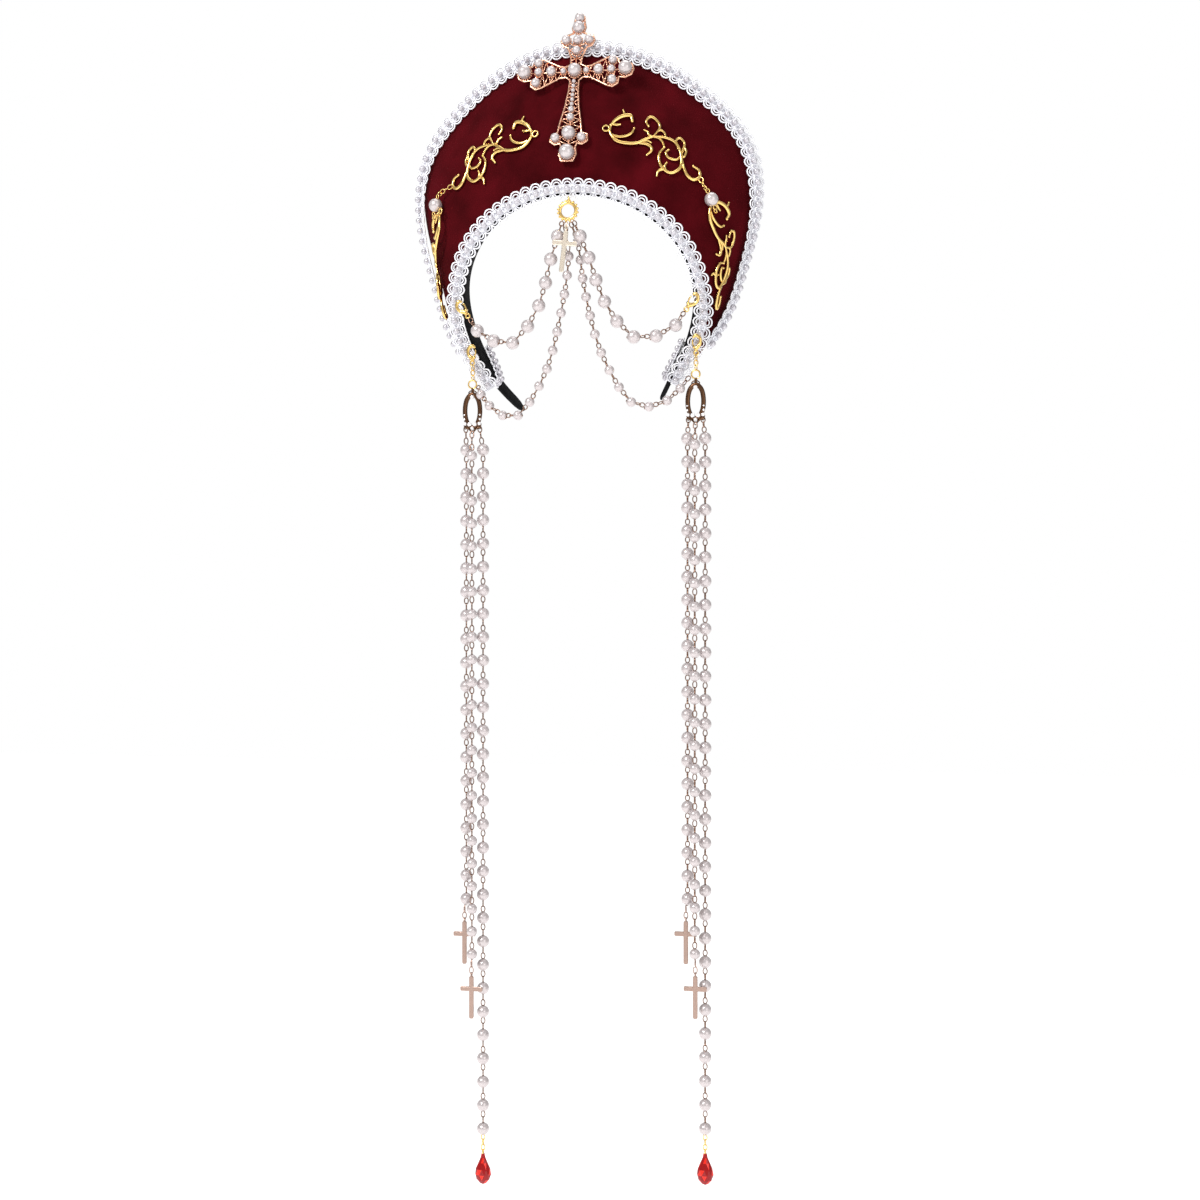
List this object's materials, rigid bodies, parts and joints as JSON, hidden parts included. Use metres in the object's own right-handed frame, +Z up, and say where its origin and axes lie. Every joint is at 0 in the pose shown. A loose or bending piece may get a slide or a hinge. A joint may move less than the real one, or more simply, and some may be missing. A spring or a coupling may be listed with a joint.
{
  "type": "costume coronet",
  "caption": "Velvet crescent coronet on a padded headband, with braid, pearl cross brooch, gold scrolls, pearl drapes on lobster clasps, and long pearl tassels with crosses and red drops.",
  "frame": {"origin": "inner face of the headband at its top, on the front edge, where the coronet sits on the head", "axes": "+X to the viewer's right as seen from the front, +Y to the back, +Z up the crown"},
  "size_m": [0.2242, 0.075, 0.7255],
  "materials": {
    "velvet": "dark wine velvet",
    "black_cloth": "matte black cloth over padding",
    "white_braid": "white looped braid with pearls",
    "rose_gold": "rose gold plated casting",
    "gold": "pale gold plated casting and wire",
    "antique_bronze": "antique bronze plated casting",
    "pearl": "imitation pearl",
    "ruby_glass": "red faceted glass"
  },
  "bodies": {
    "coronet": {"headband": "black_cloth", "crown_panel": "velvet", "outer_trim": "white_braid", "inner_trim": "white_braid", "cross_brooch": "rose_gold", "cross_left_outer": "rose_gold", "cross_left_middle": "rose_gold", "cross_right_inner": "rose_gold", "cross_right_middle": "rose_gold", "filigree_upper_left": "gold", "filigree_upper_right": "gold", "filigree_lower_left": "gold", "filigree_lower_right": "gold", "centre_ring": "gold", "centre_cross": "gold", "clasp_upper_left": "gold", "clasp_upper_right": "gold", "clasp_lower_left": "gold", "clasp_lower_right": "gold", "filigree_pearl_left": "pearl", "filigree_pearl_right": "pearl", "drape_large_left": "pearl", "drape_large_right": "pearl", "drape_small_left": "pearl", "drape_small_right": "pearl", "strand_left_outer": "pearl", "strand_left_middle": "pearl", "strand_left_inner": "pearl", "strand_right_inner": "pearl", "strand_right_middle": "pearl", "strand_right_outer": "pearl", "oval_frame_left": "antique_bronze", "oval_frame_right": "antique_bronze", "drop_left": "ruby_glass", "drop_right": "ruby_glass"},
    "lever_upper_left": {"lever_upper_left": "gold"},
    "lever_upper_right": {"lever_upper_right": "gold"},
    "lever_lower_left": {"lever_lower_left": "gold"},
    "lever_lower_right": {"lever_lower_right": "gold"}
  },
  "joints": [
    {"name": "lever_upper_left_hinge", "type": "hinge", "parent": "coronet", "child": "lever_upper_left", "pos_m": [-0.06882, 0.0176, -0.06263], "axis": [0, -1, 0], "range_deg": [0, 20], "stiffness_Nm_per_rad": 0.0002, "springref_deg": -11.46},
    {"name": "lever_upper_right_hinge", "type": "hinge", "parent": "coronet", "child": "lever_upper_right", "pos_m": [0.07042, 0.0176, -0.06343], "axis": [0, 1, 0], "range_deg": [0, 20], "stiffness_Nm_per_rad": 0.0002, "springref_deg": -11.46},
    {"name": "lever_lower_left_hinge", "type": "hinge", "parent": "coronet", "child": "lever_lower_left", "pos_m": [-0.06604, 0.0258, -0.0908], "axis": [0, -1, 0], "range_deg": [0, 20], "stiffness_Nm_per_rad": 0.0002, "springref_deg": -11.46},
    {"name": "lever_lower_right_hinge", "type": "hinge", "parent": "coronet", "child": "lever_lower_right", "pos_m": [0.07282, 0.0258, -0.08885], "axis": [0, 1, 0], "range_deg": [0, 20], "stiffness_Nm_per_rad": 0.0002, "springref_deg": -11.46}
  ]
}
